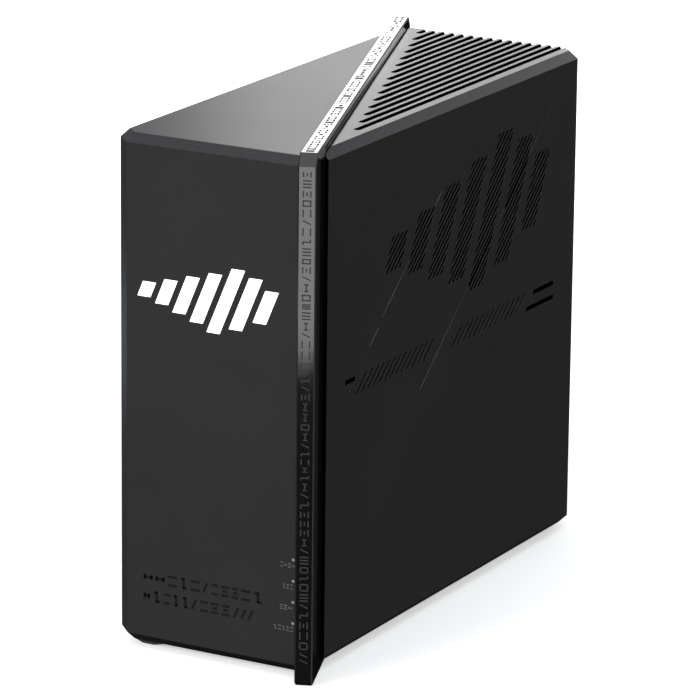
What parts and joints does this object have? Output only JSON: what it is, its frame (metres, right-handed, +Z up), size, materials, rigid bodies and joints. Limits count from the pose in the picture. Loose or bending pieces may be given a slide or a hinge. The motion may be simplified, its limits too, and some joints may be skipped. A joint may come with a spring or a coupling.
{
  "type": "wireless router",
  "caption": "Tall desktop wireless router: a black box split by a proud diagonal band, with slotted top, lit front emblem and rear sockets and buttons.",
  "frame": {"origin": "on the standing plane, under the middle of the body", "axes": "+Z up, -Y towards the front face, +X to the right-hand side seen from the front"},
  "size_m": [0.096, 0.2394, 0.205],
  "materials": {
    "cover_plastic": "fine moulded texture, satin",
    "band_gloss": "piano black gloss",
    "frame_plastic": "moulded",
    "circuit_board": "green solder mask",
    "screw_steel": "black zinc",
    "chip_epoxy": "moulded epoxy",
    "thermal_rubber": "soft pad",
    "sink_aluminium": "extruded",
    "tinned_steel": "tin plated sheet",
    "capacitor_can": "drawn can",
    "contact_gold": "gold plated",
    "light_window": "clear plastic",
    "usb_blue": "moulded",
    "socket_plastic": "moulded",
    "lan_plastic": "moulded, yellow",
    "wan_plastic": "moulded, blue",
    "panel_plastic": "fine texture",
    "button_plastic": "satin",
    "lens_white": "translucent white",
    "white_plastic": "moulded",
    "led_yellow": "moulded",
    "foot_rubber": "matte",
    "label_film": "printed film, blank"
  },
  "bodies": {
    "router": {"front_left_cover": "cover_plastic", "rear_right_cover": "cover_plastic", "diagonal_band": "band_gloss", "inner_frame": "frame_plastic", "main_board": "circuit_board", "board_screws": "screw_steel", "cover_screws": "screw_steel", "board_chips": "chip_epoxy", "thermal_pads": "thermal_rubber", "heat_sink": "sink_aluminium", "shield_cans": "tinned_steel", "capacitors": "capacitor_can", "socket_transformers": "chip_epoxy", "jack_contacts": "contact_gold", "jack_lights": "light_window", "usb_shell": "tinned_steel", "usb_tongue": "usb_blue", "power_inlet": "socket_plastic", "power_inlet_pin": "contact_gold", "port_panel": "panel_plastic", "emblem_lens": "lens_white", "emblem_light_box": "white_plastic", "emblem_led_board": "circuit_board", "emblem_leds": "led_yellow", "status_light_pipes": "lens_white", "status_led_board": "circuit_board", "status_leds": "led_yellow", "front_foot": "foot_rubber", "rear_foot": "foot_rubber", "rating_label": "label_film", "lan_jack_1": "lan_plastic", "lan_jack_2": "lan_plastic", "lan_jack_3": "lan_plastic", "lan_jack_4": "lan_plastic", "wan_jack": "wan_plastic", "power_switch": "socket_plastic", "wps_switch": "socket_plastic", "reset_switch": "socket_plastic", "aerial_left_front": "circuit_board", "aerial_left_back": "circuit_board", "aerial_right_front": "circuit_board", "aerial_right_back": "circuit_board"},
    "power_button": {"power_button": "button_plastic", "power_plunger": "button_plastic"},
    "wps_button": {"wps_button": "button_plastic", "wps_plunger": "button_plastic"},
    "reset_button": {"reset_button": "button_plastic", "reset_plunger": "button_plastic"}
  },
  "joints": [
    {"name": "power_press", "type": "slide", "parent": "router", "child": "power_button", "axis": [0, -1, 0], "range_m": [0, 0.0015], "stiffness_N_per_m": 400},
    {"name": "wps_press", "type": "slide", "parent": "router", "child": "wps_button", "axis": [0, -1, 0], "range_m": [0, 0.0008], "stiffness_N_per_m": 400},
    {"name": "reset_press", "type": "slide", "parent": "router", "child": "reset_button", "axis": [0, -1, 0], "range_m": [0, 0.0006], "stiffness_N_per_m": 300}
  ]
}
